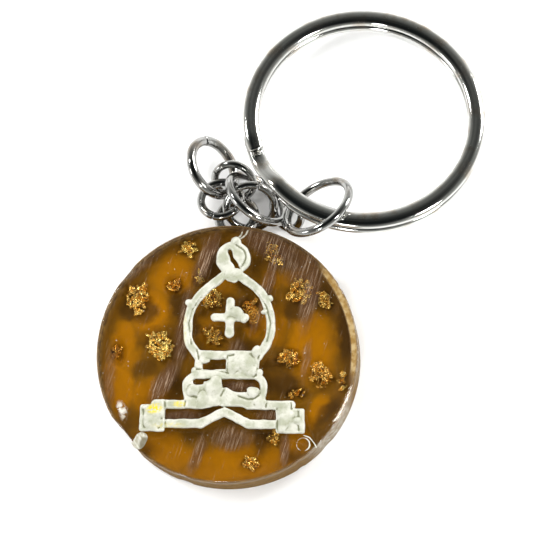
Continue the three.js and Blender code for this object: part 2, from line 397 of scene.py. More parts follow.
def wire_ring(outer, wire, centre, normal, turn, closed=False, steps=120, sides=24):
    """A circle of the wire's radius, carried round the ring's middle line."""
    radius = (outer - wire) / 2
    x, y, axis = own_axes(normal, turn)
    if closed:
        angle = np.linspace(0, TURN, steps, endpoint=False)
    else:
        half = CUT / 2 / radius
        angle = with_close_ends(half, TURN - half, steps, END_BREAK / radius)
    outward = np.outer(np.cos(angle), x) + np.outer(np.sin(angle), y)
    lift = 0 if closed else WIND * (angle / TURN - 0.5)[:, None] * axis
    round_it = np.linspace(0, TURN, sides, endpoint=False)
    circle = np.stack([np.cos(round_it), np.sin(round_it)], -1) * wire / 2
    size = np.ones(len(angle))
    if not closed:
        size[[0, -1]] = 1 - 2 * END_BREAK / wire
    section = circle[None] * size[:, None, None]
    path = np.array(centre) + radius * outward + lift
    return carried(path, np.broadcast_to(axis, path.shape), outward, section, closed)


piece("bail_ring", *wire_ring(*BAIL, closed=True), "fob", "nickel_plate", dark_nickel,
      ["bail_loop"])
for i, ring in enumerate(CHAIN, 1):
    piece(f"jump_ring_{i}", *wire_ring(*ring), f"link_{i}", "nickel_plate", dark_nickel,
          [f"link_{i}"])

# %% [markdown]
# The split ring is one flat spring wire wound twice. The lower turn starts just past the place
# where the wire climbs, and the upper one ends just before it, which leaves the kink seen on
# every key ring. The section is an oval box with rolled edges, pressed thinner at both ends.

# %% Split ring
SPLIT_CENTRE, SPLIT_NORMAL, SPLIT_TURN = (16.85, 29.3, 4.55), (0.08, 0.16, 0.98), 225
SPLIT_RADIUS, SPLIT_WIDE, SPLIT_HIGH, SPLIT_PITCH = 13.95, 2.1, 1.2, 1.35
CLIMB, END_GAP = math.radians(20), math.radians(3)
ROLL = 2.25  # power of the section's oval: 2 is an ellipse, 10 almost a box
PRESSED, PRESSED_OVER = 0.3, math.radians(5)


def coil(steps=520, sides=28):
    """An oval box carried round two turns, with the height eased up by one pitch at the climb."""
    climb_end = TURN - END_GAP
    last = climb_end - CLIMB + TURN - END_GAP
    angle = with_close_ends(0, last, steps, END_BREAK / SPLIT_RADIUS)
    share = np.clip((angle - climb_end + CLIMB) / CLIMB, 0, 1)
    share = share * share * (3 - 2 * share)
    x, y, axis = own_axes(SPLIT_NORMAL, SPLIT_TURN)
    outward = np.outer(np.cos(angle), x) + np.outer(np.sin(angle), y)
    path = (np.array(SPLIT_CENTRE) + SPLIT_RADIUS * outward
            + np.outer((share - 0.5) * SPLIT_PITCH, axis))
    t = np.linspace(0, TURN, sides, endpoint=False)
    oval = np.stack([np.sign(np.cos(t)) * np.abs(np.cos(t)) ** (2 / ROLL) * SPLIT_HIGH / 2,
                     np.sign(np.sin(t)) * np.abs(np.sin(t)) ** (2 / ROLL) * SPLIT_WIDE / 2], -1)
    from_end = np.minimum(angle, last - angle)
    thin = 1 - PRESSED * np.exp(-(from_end / PRESSED_OVER) ** 2)
    narrow = np.where(from_end > 0, 1.0, 1 - 2 * END_BREAK)
    section = oval[None] * np.stack([thin * narrow, narrow * thin ** 0.4], -1)[:, None]
    return carried(path, np.broadcast_to(axis, path.shape), outward, section)


piece("split_ring_coil", *coil(), "split_ring", "nickel_plate", nickel, ["split_ring"])

# %% [markdown]
# The disc was cast in two pours. The back pour is cloudy amber, and the leaf was pressed into
# its soft top, so that top is a surface of low swells with a dimple under each flake. It could
# be a sculpted cylinder. A lathe profile is used instead, whose top height is a sum of smooth
# hollows, because then each flake and its dimple come from the same list.

# %% Disc shape
DISC_RADIUS, DISC_TOP, BACK_POUR, EDGE = 15.98, 5.5, 4.1, 0.3
SPOKES = 480
# Each flake: x, y, width, length, turn, height of its underside, how orange it is.
LEAVES = (
    (-4.7, 13.1, 1.8, 2.0, 20, 3.4, 0.1), (-6.6, 8.8, 1.5, 1.7, 60, 2.0, 0.8),
    (-3.5, 9.4, 1.1, 1.0, 10, 3.0, 0.1), (-11.1, 7.0, 2.9, 3.7, -15, 3.2, 0.5),
    (-8.2, 1.1, 3.2, 4.2, 35, 3.4, 0.1), (-13.6, 0.6, 1.2, 2.0, 0, 2.2, 1.0),
    (5.6, 12.2, 1.9, 3.4, 25, 3.4, 0.4), (9.0, 7.6, 3.0, 3.4, -20, 3.2, 0.5),
    (11.9, 6.4, 1.6, 2.4, 30, 2.8, 0.5), (-1.8, 6.7, 2.7, 2.4, 15, 3.0, 0.4),
    (-1.8, 2.3, 2.9, 1.8, -10, 2.6, 0.5), (2.9, 5.3, 1.9, 2.9, 10, 2.4, 0.9),
    (7.6, -0.7, 3.0, 1.7, -12, 2.6, 0.8), (11.6, -3.0, 2.6, 3.4, 15, 3.0, 0.7),
    (14.0, -3.6, 0.8, 3.4, -4, 3.4, 0.2), (8.4, -5.1, 2.0, 1.1, 8, 2.4, 0.8),
    (5.7, -10.6, 1.6, 1.6, 40, 3.2, 0.4), (2.9, -13.6, 2.2, 1.4, 5, 3.0, 0.6),
)
LEAF_THICKNESS = 0.4
REFRACTION = 1.5  # how much deeper a thing lies in the resin than it seems to
# Flats and nicks in the sanded rim: angle, half width in degrees, depth.
NICKS = ((218, 7, 0.35), (250, 3, 0.12), (30, 1.2, 0.1), (17, 0.8, 0.08), (318, 2.5, 0.1),
         (303, 1.5, 0.08), (141, 4, 0.1))


def swell(x, y, seed, waves=7, finest=1.0):
    """A smooth uneven surface between about -1 and 1: a sum of sine waves in seeded directions."""
    draw = np.random.default_rng(seed)
    heading, phase = draw.uniform(0, TURN, waves), draw.uniform(0, TURN, waves)
    pace = finest * draw.uniform(0.35, 1, waves)
    total = sum(np.sin(p * (x * math.cos(a) + y * math.sin(a)) + f)
                for a, f, p in zip(heading, phase, pace))
    return total / math.sqrt(2 * waves)


def rim(angle):
    """The disc's radius at each angle: a slight waver, less a smooth dip for each nick."""
    radius = DISC_RADIUS - 0.03 + 0.03 * swell(angle * 3, angle * 0, 5)
    for where, half, depth in NICKS:
        off = (np.degrees(angle) - where + 180) % 360 - 180
        radius = radius - depth * np.exp(-(off / half) ** 4)
    return radius


def leaf_height(under):
    """Resin bends light, so that what lies in it seems two thirds as deep as it is. The clear
    shader below lets light straight through, so flakes are put at the depth they seem to have."""
    return DISC_TOP - (DISC_TOP - under) / REFRACTION


def deck(x, y):
    """Height of the back pour's top: gentle swells, less a rounded hollow below each flake."""
    height = 3.88 + 0.08 * swell(x, y, 11, finest=0.9)
    for lx, ly, wide, long, turn, under, _ in LEAVES:
        c, s = math.cos(math.radians(turn)), math.sin(math.radians(turn))
        u, v = (x - lx) * c + (y - ly) * s, (y - ly) * c - (x - lx) * s
        far = (u / (wide * 0.75)) ** 2 + (v / (long * 0.75)) ** 2
        floor_of_hollow = leaf_height(under) - 0.25
        height = height - (height - floor_of_hollow) * np.exp(-far ** 2)
    return height


def lathe(rows, height_at=None, flat_from=None):
    """rows of (share of the rim radius, inset in mm, height), each turned once round +Z."""
    angle = np.linspace(0, TURN, SPOKES, endpoint=False)
    share, inset, height = (np.array(column)[:, None] for column in zip(*rows))
    radius = np.maximum(share * rim(angle)[None] - inset, 0)
    x, y = radius * np.cos(angle), radius * np.sin(angle)
    z = np.broadcast_to(height, x.shape).copy()
    if height_at is not None:
        z[flat_from:] = height_at(x[flat_from:], y[flat_from:], z[flat_from:])
    grid = np.stack([x, y, z], -1).reshape(-1, 3)
    low, high = len(grid), len(grid) + 1
    poles = np.array([(0, 0, z[0].mean()), (0, 0, z[-1].mean())])
    spoke = np.arange(SPOKES)
    top = spoke + (len(rows) - 1) * SPOKES
    fans = np.concatenate([
        np.stack([np.roll(spoke, -1), spoke, np.full(SPOKES, low)], -1),
        np.stack([top, np.roll(top, -1), np.full(SPOKES, high)], -1)])
    return np.concatenate([grid, poles]), [grid_faces(len(rows), SPOKES), fans]


def rounded(centre_height, start, end, steps=6):
    """Rows of a quarter-round edge, between two angles in degrees."""
    bend = np.radians(np.linspace(start, end, steps))
    return [(1, EDGE * (1 - math.cos(b)), centre_height + EDGE * math.sin(b)) for b in bend]


def inward(height, steps, inset, smallest=0.01):
    return [(s, inset, height) for s in np.linspace(1, smallest, steps)]


print("disc radius", DISC_RADIUS, "with", len(NICKS), "nicks")

# %% [markdown]
# The cloudy pour's colour has painted light and shade in it: bright amber where light comes
# through the resin clear of leaf, and a near black-brown painted shadow where the leaf shades it.
# The soft ovals below place those clouds, a noise bends their edges, and a sanded pinkish brown
# takes over on the wall, paler where the sanding went deeper. A texture paint layer could do the
# same, but this stays sharp at any size.

# %% Cloudy resin
# Painted light: the ovals where light coming through the resin makes it bright amber.
LIT_AMBER = (
    (-7.2, 10.2, 4.0, 3.0, 35, 0.85), (-9.6, 5.4, 3.0, 4.0, -15, 1.0), (-12.8, 1.4, 2.2, 4.2, 0, 0.9),
    (-13.4, -3.6, 2.6, 4.6, 10, 0.95), (-9.6, -5.0, 3.4, 2.8, 0, 0.8), (-7.0, -11.6, 4.6, 2.6, -35, 0.85),
    (1.0, -13.4, 8.5, 3.4, 5, 0.9), (10.0, 1.0, 4.0, 5.6, -5, 1.0), (5.6, 3.6, 2.2, 3.4, 0, 0.8),
    (10.6, -7.0, 1.6, 2.8, -25, 0.9), (8.6, -10.8, 2.4, 1.8, 30, 0.85), (3.4, 4.0, 1.4, 2.6, 0, 0.9),
    (-0.6, 8.6, 2.6, 1.4, 0, 0.6), (-2.4, 3.0, 1.8, 2.6, 0, 0.5), (5.4, 9.4, 1.8, 1.6, 0, 0.6),
    (8.0, 9.4, 2.4, 1.6, 0, 0.5),
)
# Painted shadow: the ovals where the leaf shades the resin near black-brown.
SHADE = (
    (-10.4, 5.6, 2.4, 2.4, -30, 0.9), (-12.4, 5.8, 1.8, 1.9, 0, 0.85), (-6.0, 6.4, 2.0, 3.2, 12, 0.95),
    (-9.4, 2.4, 2.6, 1.6, 0, 0.6), (-10.2, -1.4, 2.2, 1.6, 10, 0.7), (-6.2, 0.6, 1.5, 5.4, -8, 0.65),
    (-6.4, -4.0, 1.6, 2.8, -15, 0.7), (-13.8, 1.2, 0.9, 1.2, 0, 0.85), (-4.4, 3.8, 1.2, 2.2, 0, 0.7),
    (6.8, -3.6, 3.4, 2.8, -8, 1.0), (5.8, -1.4, 2.0, 1.6, 0, 0.7), (12.2, -7.2, 1.5, 3.4, -35, 0.9),
    (14.3, 2.6, 1.5, 6.6, 6, 1.0), (12.6, 6.6, 2.0, 3.2, 20, 0.8), (8.0, 5.6, 2.4, 2.4, 0, 0.85),
    (7.4, 12.0, 3.4, 1.8, -25, 0.55), (-1.6, 11.2, 1.7, 4.0, -15, 0.85), (4.2, 12.6, 1.6, 2.2, 0, 0.6),
    (1.2, 6.2, 2.6, 1.6, 0, 0.8), (1.4, 1.2, 2.8, 1.4, 0, 0.6), (4.2, -10.6, 1.6, 2.6, 0, 0.9),
    (-4.4, -9.6, 2.2, 1.2, 0, 0.5), (-12.6, -8.4, 1.6, 1.4, -40, 0.5), (2.8, -13.5, 1.4, 0.9, 0, 0.6),
    (8.0, -12.2, 1.2, 1.4, 0, 0.5),
)
# Pinkish streaks: sanding rub marks with a painted reflection in them.
SCRATCH_STREAKS_AND_SHEEN = (
    (-2.6, 12.0, 1.3, 4.8, -24, 1.0), (-5.3, 3.4, 1.1, 6.0, -9, 0.9), (-7.7, -3.4, 1.3, 3.8, -33, 1.0),
    (5.2, 9.4, 0.9, 5.8, -15, 0.8), (3.6, 4.0, 0.6, 2.4, -30, 0.5), (10.2, 7.2, 1.4, 6.2, -12, 0.8),
    (-3.6, -12.3, 0.9, 3.2, -20, 0.7), (7.0, -11.9, 0.8, 2.6, -4, 0.9), (0.6, -10.4, 3.4, 1.9, 0, 0.7),
    (5.4, 13.4, 5.4, 2.2, -28, 0.8), (-10.4, 11.4, 4.0, 0.9, 42, 0.5), (1.2, 0.6, 1.6, 1.4, 0, 0.5),
    (9.6, -1.0, 0.7, 3.4, -12, 0.45), (-14.4, -2.6, 0.9, 5.0, 0, 0.4), (1.4, -4.1, 2.4, 0.9, 0, 0.8),
    (-5.6, -7.6, 3.4, 0.8, 0, 0.7), (5.6, -7.7, 3.0, 0.8, 0, 0.7), (9.4, 10.6, 3.6, 3.2, -30, 0.6),
)
PALE_WALL = ((13.2, -9.4, 5.6, 3.2, 45, 1.0), (15.8, 1.0, 1.5, 7.0, 5, 0.45))
WALL_FROM = 15.4  # radius where the look of the sanded wall begins


def sanded_wall(graph, at):
    """Brown sanding marks that run round the wall, with pale chips where it was sanded deeper.
    Gives the colour and the height of the marks."""
    marks = graph.noise(graph.turned(at, sizes=(1.2, 1.2, 0.16)), 1.4, 5.0)
    chips = graph.noise(graph.turned(at, sizes=(1, 1, 0.6)), 1.9, 6.0)
    warm = graph.mix(graph.ease(marks, 0.35, 0.68), (0.085, 0.042, 0.008, 1), (0.22, 0.125, 0.028, 1))
    pale = patches(graph, at, PALE_WALL)
    warm = graph.mix(pale * 0.6, warm, (0.24, 0.19, 0.13, 1))
    return graph.mix(pale * graph.ease(chips, 0.5, 0.57) * 0.85, warm, (0.44, 0.42, 0.36, 1)), marks


cloudy, g = new_material("cloudy_resin")
at = g.place()
wander = g.scaled(g.shifted(g.noise(at, 0.42, 3.0, "Color"), (-0.5, -0.5, -0.5)), 2.6)
bent = g.add("ShaderNodeVectorMath", {"operation": "ADD"}, [at, wander])
radius = g.length(g.turned(at, sizes=(1, 1, FLAT)))
lit = patches(g, bent, LIT_AMBER, 0.45)
shaded = patches(g, bent, SHADE, 0.3)
mottle = g.noise(at, 1.3, 5.0)
# The bright amber here is painted light, and the near black-brown two lines down is painted shadow.
body_colour = g.mix(lit, (0.135, 0.063, 0.004, 1), (0.312, 0.128, 0.0, 1))
body_colour = g.mix(g.ease(mottle, 0.3, 0.8) * 0.3, body_colour, (0.21, 0.087, 0.001, 1))
body_colour = g.mix(shaded * 0.88, body_colour, (0.050, 0.023, 0.004, 1))
wall = g.ease(radius, WALL_FROM, WALL_FROM + 0.35)
wall_colour, sanding = sanded_wall(g, at)
g.surface(g.add("ShaderNodeBsdfPrincipled", None, {
    "Base Color": g.mix(wall, body_colour, wall_colour), "Specular IOR Level": 0.08,
    "Roughness": 0.45 + wall * 0.2,
    "Normal": g.bump(mottle * 0.4 + sanding * wall, 0.5, 0.08 * MM)}))

DECK_STEPS = 118  # rings of points from the rim to the middle of the cloudy pour's top
rows = ([(s, EDGE, 0.0) for s in np.linspace(0.01, 1, 5)] + rounded(EDGE, -80, 0)
        + [(1, 0, z) for z in np.linspace(0.6, BACK_POUR - 0.05, 9)]
        + [(1, 0.05, BACK_POUR)] + inward(BACK_POUR, DECK_STEPS, 0.1)[1:])
flat_from = len(rows) - (DECK_STEPS - 1)


def deck_rows(x, y, z):
    """The deck, raised to the pour's full height in the last 0.4 mm before the rim."""
    near_rim = np.clip((np.hypot(x, y) - DISC_RADIUS + 0.7) / 0.5, 0, 1)
    return deck(x, y) * (1 - near_rim) + (BACK_POUR - 0.03) * near_rim


piece("cloudy_pour", *lathe(rows, deck_rows, flat_from), "fob", "cloudy_resin", cloudy,
      ["resin_back"], sharp=35)

# %% [markdown]
# The front pour is clear resin with a polished face. Real refraction would need very many
# samples to light the leaf below, so the clear part lets light straight through with an amber
# tint and mirrors more towards grazing angles. Rub marks from sanding lie on it as pinkish
# streaks of fine fibres with a painted reflection in them, where a matt shader takes over, and
# its wall is frosted all round.

# %% Clear resin
clear, g = new_material("clear_resin")
at = g.place()
radius = g.length(g.turned(at, sizes=(1, 1, FLAT)))
wander = g.scaled(g.shifted(g.noise(at, 0.5, 2.0, "Color"), (-0.5, -0.5, -0.5)), 1.2)
bent = g.add("ShaderNodeVectorMath", {"operation": "ADD"}, [at, wander])
fibres = g.noise(g.turned(at, sizes=(0.085, 2.4, 1), turn=-17), 1.0, 3.0)
broad = g.noise(g.turned(at, sizes=(0.5, 5.0, 1), turn=-17), 1.0, 2.0)
streaks_and_sheen = patches(g, bent, SCRATCH_STREAKS_AND_SHEEN, 0.3)
rubbed_and_sheen = streaks_and_sheen * (0.42 + g.ease(fibres, 0.42, 0.66) * 0.35)
lines = g.ease(fibres, 0.64, 0.72) * g.ease(broad, 0.42, 0.6)
# Painted highlight: a white-grey glint on a small spot near the left edge.
glint_spot = patches(g, bent, ((-12.8, -6.7, 0.75, 1.5, 15, 1.0),)) * g.ease(g.noise(at, 2.2, 2.0), 0.42, 0.5)
specks = g.ease(g.noise(at, 3.1, 1.0), 0.76, 0.8)
frost = g.ease(radius, 15.66, 15.9)
inner_edge = g.length(g.turned(at, (-0.95, -0.3), (1, 1, FLAT)))
# Painted light: a pale golden band inside the right rim, where light comes through the thin edge.
rim_glow = g.ease(inner_edge, 15.9, 16.2) * patches(g, at, ((15.0, 4.4, 3.2, 12.5, 14, 1.0),), 0.6)
wall_colour, sanding = sanded_wall(g, at)
ripple = g.length(g.turned(at, (3.1, 4.7), (0.85, 1.05, FLAT), 20))
bubble = g.ease(ripple.math("PINGPONG", ripple * 3.0, 0.5), 0.34, 0.5) * g.ease(ripple, 1.0, 0.9)
# Colour of the streaks and their thin pale lines: sanding marks, with a painted reflection in the
# purple-brown and pale tones.
marks = g.mix(g.ease(fibres, 0.52, 0.70), (0.098, 0.048, 0.024, 1), (0.40, 0.29, 0.20, 1))
marks = g.mix(bubble, marks, (0.56, 0.26, 0.02, 1))
# golden is the colour of that painted light, streaked by the sanding marks.
golden = g.mix(g.ease(sanding, 0.4, 0.65), (0.27, 0.155, 0.04, 1), (0.48, 0.36, 0.18, 1))
marks = g.mix(rim_glow, marks, golden)
# This pale colour paints the glint as a highlight and also colours the real dust specks.
marks = g.mix(glint_spot.either(specks), marks, (0.72, 0.70, 0.64, 1))
marks = g.mix(frost, marks, wall_colour)
cover = (rubbed_and_sheen.either(lines * 0.3).either(rim_glow * 0.75).either(glint_spot * 0.6)
         .either(bubble * 0.75)
         .either(specks * 0.5).either(frost * 0.94))
waves = g.noise(at, 0.22, 1.0)
dents = g.bump(waves * 0.7 + fibres * 0.08, 0.5, 0.08 * MM)
matt = g.add("ShaderNodeBsdfPrincipled", None, {
    "Base Color": marks, "Roughness": 0.30 + frost * 0.25, "Specular IOR Level": 0.3,
    "Normal": g.bump(sanding * frost + fibres * 0.3, 0.5, 0.06 * MM)})
edge_on = g.add("ShaderNodeLayerWeight", output="Facing")
mirror = 0.04 + (edge_on ** 5.0) * 0.9
sheen = g.add("ShaderNodeBsdfGlossy", None, {"Color": (1, 1, 1, 1), "Roughness": 0.05, "Normal": dents})
through = g.add("ShaderNodeBsdfTransparent", None, [(0.99, 0.97, 0.91, 1)])
g.surface(g.blend(cover, g.blend(mirror, through, sheen), matt))


def polished(x, y, z):
    """The polished face: flat but for swells of a hundredth of a millimetre."""
    return z + 0.012 * swell(x, y, 21, finest=0.7)


UNDER = BACK_POUR + 0.02
FACE_STEPS = 60  # the same for the polished face
rows = ([(s, 0.05, UNDER) for s in np.linspace(0.01, 1, 5)]
        + [(1, 0, z) for z in np.linspace(UNDER + 0.05, DISC_TOP - EDGE, 6)]
        + rounded(DISC_TOP - EDGE, 10, 90) + inward(DISC_TOP, FACE_STEPS, EDGE)[1:])
piece("clear_pour", *lathe(rows, polished, len(rows) - (FACE_STEPS - 1)), "fob", "clear_resin",
      clear, ["resin_front"], sharp=60)

# %% [markdown]
# Gold leaf is foil a few thousandths of a millimetre thick that crumples as it is pressed in.
# Cloth simulation could crumple a sheet, but flakes this small are quicker as a formula: each
# flake is a cluster of torn scraps, and each scrap is a disc grid with a ragged edge whose
# height is a sum of triangle waves, which have the sharp creases of real foil.

# %% Gold leaf
gold, g = new_material("gold_leaf")
at = g.place()
tone = g.noise(at, 1.6, 3.0)
crinkle_and_crease_shade = g.noise(at, 5.0, 3.0)
ORANGE = [(x, y, w, l, t, o) for x, y, w, l, t, _, o in LEAVES]
deep = patches(g, at, ORANGE, 0.9)
colour = g.mix(g.ease(tone, 0.42, 0.64), (1.0, 0.79, 0.26, 1), (0.66, 0.32, 0.03, 1))
colour = g.mix(deep * 0.6, colour, (0.60, 0.21, 0.005, 1))
# Painted shade: the foil turns near black in its creases, where the crinkle noise is high.
colour = g.mix(g.ease(crinkle_and_crease_shade, 0.54, 0.62) * 0.9, colour, (0.022, 0.009, 0.002, 1))
g.surface(g.add("ShaderNodeBsdfPrincipled", None, {
    "Base Color": colour, "Metallic": 0.7, "Roughness": 0.16 + tone * 0.2,
    "Normal": g.bump(crinkle_and_crease_shade, 0.7, 0.06 * MM)}))

RINGS, POINTS = 11, 40
FOIL = 0.015  # half the foil's thickness
GOLDEN_ANGLE = 2.4


def creases(x, y, draw, folds=5):
    """Sharp folds: the mean of triangle waves in drawn directions, finer ones lower."""
    total = 0
    for k in range(folds):
        a, f = draw.uniform(0, TURN, (2, len(x), 1, 1))
        pace = 1.3 * 1.35 ** k
        run = (x * np.cos(a) + y * np.sin(a)) * pace + f
        total = total + (np.abs(run % 2 - 1) - 0.5) / (1 + 0.45 * k)
    return total


SEEN_AT = (-0.1, 0.25)  # the same bending shifts a flake this much in a steep view


def flake(x, y, wide, long, turn, under, seed):
    """Long and short scraps strewn over the flake's oval by the golden angle, in one array."""
    draw = np.random.default_rng(seed)
    count = max(4, int(2.6 * wide * long))
    k = np.arange(count) + 0.5
    spread = np.sqrt(k / count) * 0.46 * draw.uniform(0.75, 1.1, count)
    golden = k * GOLDEN_ANGLE + draw.uniform(0, TURN)
    size = draw.uniform(0.22, 0.6, count)[:, None, None]
    slim, way = draw.uniform(0.35, 1.0, (count, 1, 1)), draw.uniform(0, TURN, (count, 1, 1))
    r = np.linspace(0.06, 1, RINGS)[None, :, None]
    t = np.linspace(0, TURN, POINTS, endpoint=False)[None, None, :]
    ragged = 1 + sum(0.5 / n * np.sin(n * t + draw.uniform(0, TURN, (count, 1, 1)))
                     for n in (2, 3, 5, 7))
    a, b = size * r * ragged * np.cos(t), size * r * ragged * np.sin(t) * slim
    u, v = a * np.cos(way) - b * np.sin(way), a * np.sin(way) + b * np.cos(way)
    h = 0.19 * creases(u * 2, v * 2, draw)
    lean = draw.uniform(-0.7, 0.7, (2, count, 1, 1))
    h = h + lean[0] * u + lean[1] * v + draw.uniform(-0.05, 0.22, (count, 1, 1))
    c, s = math.cos(math.radians(turn)), math.sin(math.radians(turn))
    cx, cy = spread * np.cos(golden) * wide, spread * np.sin(golden) * long
    px = x + SEEN_AT[0] + cx[:, None, None] * c - cy[:, None, None] * s + u
    py = y + SEEN_AT[1] + cx[:, None, None] * s + cy[:, None, None] * c + v
    pz = leaf_height(under) + LEAF_THICKNESS / 2 + np.clip(h, -0.3, 0.6)
    top = np.stack([px, py, pz + FOIL], -1).reshape(count, -1, 3)
    low = np.stack([px, py, pz - FOIL], -1)[:, ::-1].reshape(count, -1, 3)
    shell = np.concatenate([top[:, :POINTS].mean(1, keepdims=True),
                            top, low, low[:, -POINTS:].mean(1, keepdims=True)], 1)
    rows = 2 * RINGS
    quads = grid_faces(rows, POINTS) + 1
    near = np.arange(POINTS)
    last = 1 + (rows - 1) * POINTS
    fans = np.concatenate([
        np.stack([near + 1, np.roll(near, -1) + 1, np.zeros(POINTS, int)], -1)[:, ::-1],
        np.stack([near + last, np.roll(near, -1) + last,
                  np.full(POINTS, rows * POINTS + 1)], -1)])
    start = np.arange(count)[:, None, None] * shell.shape[1]
    return shell.reshape(-1, 3), [(quads[None] + start).reshape(-1, 4),
                                  (fans[None] + start).reshape(-1, 3)]


for i, (*leaf, _) in enumerate(LEAVES, 1):
    piece(f"leaf_scraps_{i:02d}", *flake(*leaf, 100 + i), "fob", "gold_leaf", gold,
          [f"gold_leaf_{i:02d}"], sharp=35)

# %% [markdown]
# The motif is thick white relief laid on the face like icing, so its lines have round shoulders,
# soft joins and blobs where it pooled. Bevelled curves would leave seams where they meet. Here
# the distance to the nearest line is worked out on a 3-D grid, lines are joined softly, blobs
# are added, and the skin is drawn where the distance is zero, as in a sculpting tool's remesh.

# %% White relief
STAINS = ((-8.7, -6.8, 1.3, 0.8, 10, 1.0), (-5.7, -6.3, 1.0, 0.5, 0, 0.8), (-7.0, -8.9, 2.6, 0.5, 0, 0.3),
          (-5.2, 3.0, 0.5, 4.0, 0, 0.25))
white, g = new_material("white_relief")
at = g.place()
cloud = g.noise(at, 0.7, 4.0)
grainy = g.noise(at, 3.5, 3.0)
bend = g.add("ShaderNodeAttribute", {"attribute_name": "bend"}, output="Fac")
ivory = g.mix(g.ease(cloud, 0.35, 0.65), (0.53, 0.525, 0.455, 1), (0.34, 0.35, 0.26, 1))
# Painted shade: darker where the skin bends into creases. The next line is a painted highlight, paler on
# ridges.
ivory = g.mix(g.ease(bend, 0.42, 0.12), ivory, (0.16, 0.165, 0.095, 1))
ivory = g.mix(g.ease(bend, 0.60, 0.95) * 0.5, ivory, (0.62, 0.62, 0.55, 1))
ivory = g.mix(g.ease(grainy, 0.60, 0.70) * 0.5, ivory, (0.26, 0.27, 0.17, 1))
ivory = g.mix(patches(g, at, STAINS) * g.ease(grainy, 0.4, 0.52), ivory, (0.62, 0.50, 0.015, 1))
g.surface(g.add("ShaderNodeBsdfPrincipled", None, {
    "Base Color": ivory, "Roughness": 0.30 + cloud * 0.2,
    "Normal": g.bump(grainy * 0.6 + cloud * 0.8, 0.6, 0.18 * MM)}))

STROKE, MOTIF_TURN = 1.1, math.radians(-1.5)
PITCH, LIFT = 0.085, 0.07  # spacing of the distance grid, flat and upright
LINE_LOW, LINE_HIGH, SHOULDER = DISC_TOP - 0.06, DISC_TOP + 0.5, 0.26
GROOVE_DEPTH, GROOVE_HALF = 0.17, 0.13
BLOB_MELT = 0.14  # how far a blob's foot runs into the line below it


def smooth_line(points, steps=40):
    """A Catmull-Rom curve: each span is the cubic that leaves its ends along their neighbours."""
    p = np.array([points[0], *points, points[-1]], float)
    t = np.linspace(0, len(points) - 1, steps)
    i = np.minimum(t.astype(int), len(points) - 2)
    f = (t - i)[:, None]
    a, b, c, d = p[i], p[i + 1], p[i + 2], p[i + 3]
    return 0.5 * (2 * b + (c - a) * f + (2 * a - 5 * b + 4 * c - d) * f ** 2
                  + (3 * b - a - 3 * c + d) * f ** 3)


def to_line(x, y, points, width):
    """Distance to a line of straight spans, less half its width."""
    nearest = np.full(x.shape, np.inf)
    for (ax, ay), (bx, by) in zip(points[:-1], points[1:]):
        dx, dy = bx - ax, by - ay
        along = np.clip(((x - ax) * dx + (y - ay) * dy) / (dx * dx + dy * dy + 1e-12), 0, 1)
        nearest = np.minimum(nearest, np.hypot(x - ax - along * dx, y - ay - along * dy))
    return nearest - width / 2


def to_bar(x, y, left, right, bottom, top, corner=0.3):
    """Distance to an upright box with round corners: past the corners' centres, less the round."""
    over_x = np.abs(x - (left + right) / 2) - (right - left) / 2 + corner
    over_y = np.abs(y - (bottom + top) / 2) - (top - bottom) / 2 + corner
    outside = np.hypot(np.maximum(over_x, 0), np.maximum(over_y, 0))
    return outside + np.minimum(np.maximum(over_x, over_y), 0) - corner


def melt(a, b, reach=0.18):
    """The smaller of two distances, with the corner between them filled in over reach."""
    share = np.clip(0.5 + 0.5 * (b - a) / reach, 0, 1)
    return b + (a - b) * share - reach * share * (1 - share)


def melted(distances):
    total = distances[0]
    for one in distances[1:]:
        total = melt(total, one)
    return total


def skin(field, low, spacing):
    """Surface nets: a cell of the grid that the zero level crosses gets one point, the mean of
    the crossings on its edges, and each crossed edge gets the quad of its four cells."""
    inside, cells = field < 0, np.array(field.shape) - 1
    total, count = np.zeros((*cells, 3)), np.zeros(cells)
    crossed = []
    for axis in range(3):
        first = np.take(field, range(cells[axis]), axis)
        second = np.take(field, range(1, cells[axis] + 1), axis)
        change = (first < 0) != (second < 0)
        at = np.argwhere(change)
        where = at.astype(float)
        where[:, axis] += first[change] / (first[change] - second[change])
        u, v = (axis + 1) % 3, (axis + 2) % 3
        for du, dv in ((0, 0), (-1, 0), (-1, -1), (0, -1)):
            cell = at.copy()
            cell[:, u] += du
            cell[:, v] += dv
            real = ((cell >= 0) & (cell < cells)).all(1)
            key = tuple(cell[real].T)
            np.add.at(total, key, where[real])
            np.add.at(count, key, 1)
        crossed.append((at, u, v))
    used = count > 0
    number = np.full(cells, -1)
    number[used] = np.arange(used.sum())
    quads = []
    for at, u, v in crossed:
        within = (at[:, u] > 0) & (at[:, u] < cells[u]) & (at[:, v] > 0) & (at[:, v] < cells[v])
        at = at[within]
        corners = []
        for du, dv in ((0, 0), (-1, 0), (-1, -1), (0, -1)):
            cell = at.copy()
            cell[:, u] += du
            cell[:, v] += dv
            corners.append(number[tuple(cell.T)])
        quad = np.stack(corners, -1)
        outer = ~inside[tuple(at.T)]
        quad[outer] = quad[outer][:, ::-1]
        quads.append(quad)
    points = total[used] / count[used][:, None]
    return np.array(low) + points * np.array(spacing), [np.concatenate(quads)]


def curving(field):
    """How a distance field bends: the sum of its second differences, 0 in creases, 0.5 where
    flat, 1 on ridges. It is blurred over three cells each way."""
    d = sum(np.gradient(np.gradient(field, step, axis=k), step, axis=k)
            for k, step in enumerate((PITCH, PITCH, LIFT)))
    for k in range(3):
        d = (np.roll(d, 1, k) + d + np.roll(d, -1, k)) / 3
    return np.clip(0.5 + d / 9, 0, 1)


